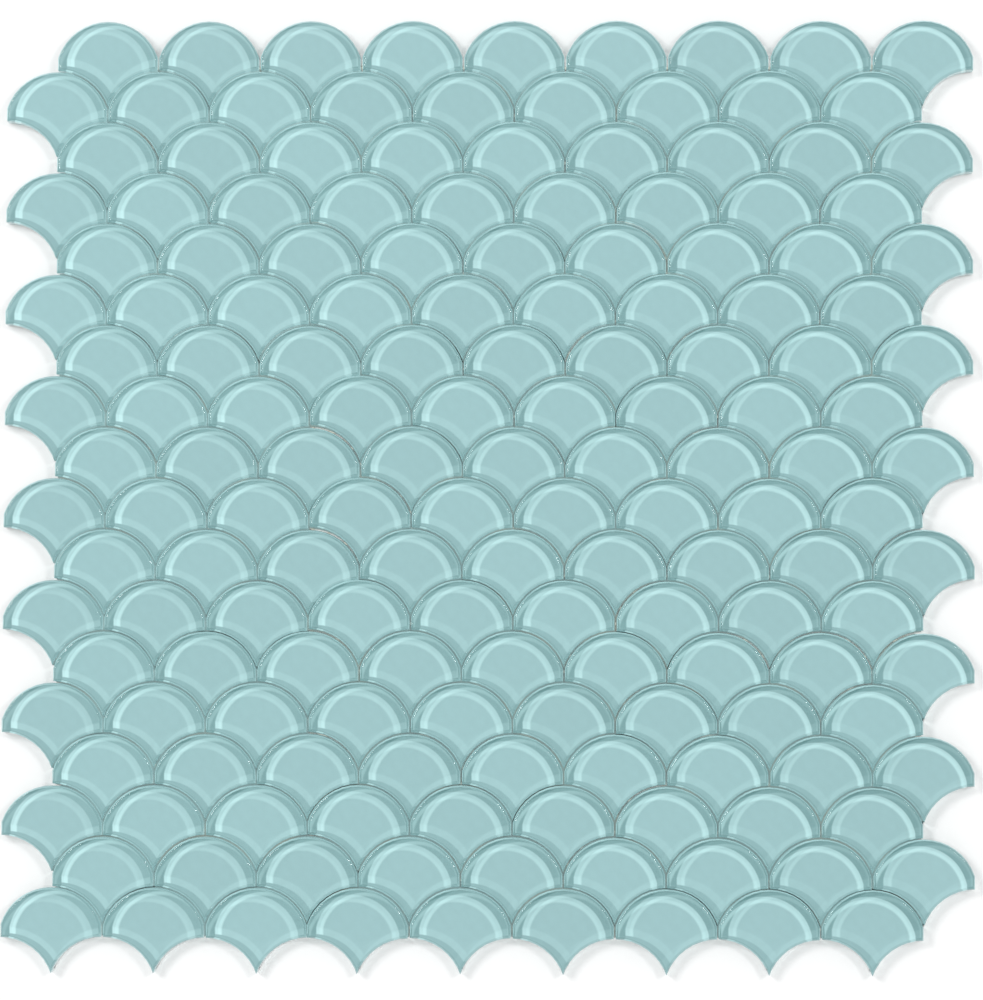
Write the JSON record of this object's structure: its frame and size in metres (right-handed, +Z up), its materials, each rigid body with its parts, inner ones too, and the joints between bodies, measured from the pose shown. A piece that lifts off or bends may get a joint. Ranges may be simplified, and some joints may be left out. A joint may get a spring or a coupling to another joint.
{
  "type": "fish scale tile sheet",
  "caption": "Flat sheet of back-coloured clear glass fish scale tiles in half-lapped rows with narrow open joints, held face up on a thin glass-fibre mesh.",
  "frame": {"origin": "underside of the mesh, under the middle of the sheet", "axes": "+Z up out of the glass faces, +Y towards the rounded crowns of the scales, +X along the rows"},
  "size_m": [0.3034, 0.2986, 0.0065],
  "materials": {
    "glass": "clear polished glass over an aqua colour coat on its back",
    "glass_fibre": "matte white glass-fibre yarn"
  },
  "bodies": {
    "root": {"scale_row_01": "glass", "scale_row_02": "glass", "scale_row_03": "glass", "scale_row_04": "glass", "scale_row_05": "glass", "scale_row_06": "glass", "scale_row_07": "glass", "scale_row_08": "glass", "scale_row_09": "glass", "scale_row_10": "glass", "scale_row_11": "glass", "scale_row_12": "glass", "scale_row_13": "glass", "scale_row_14": "glass", "scale_row_15": "glass", "scale_row_16": "glass", "scale_row_17": "glass", "scale_row_18": "glass", "mesh_warp": "glass_fibre", "mesh_weft": "glass_fibre"}
  },
  "joints": []
}
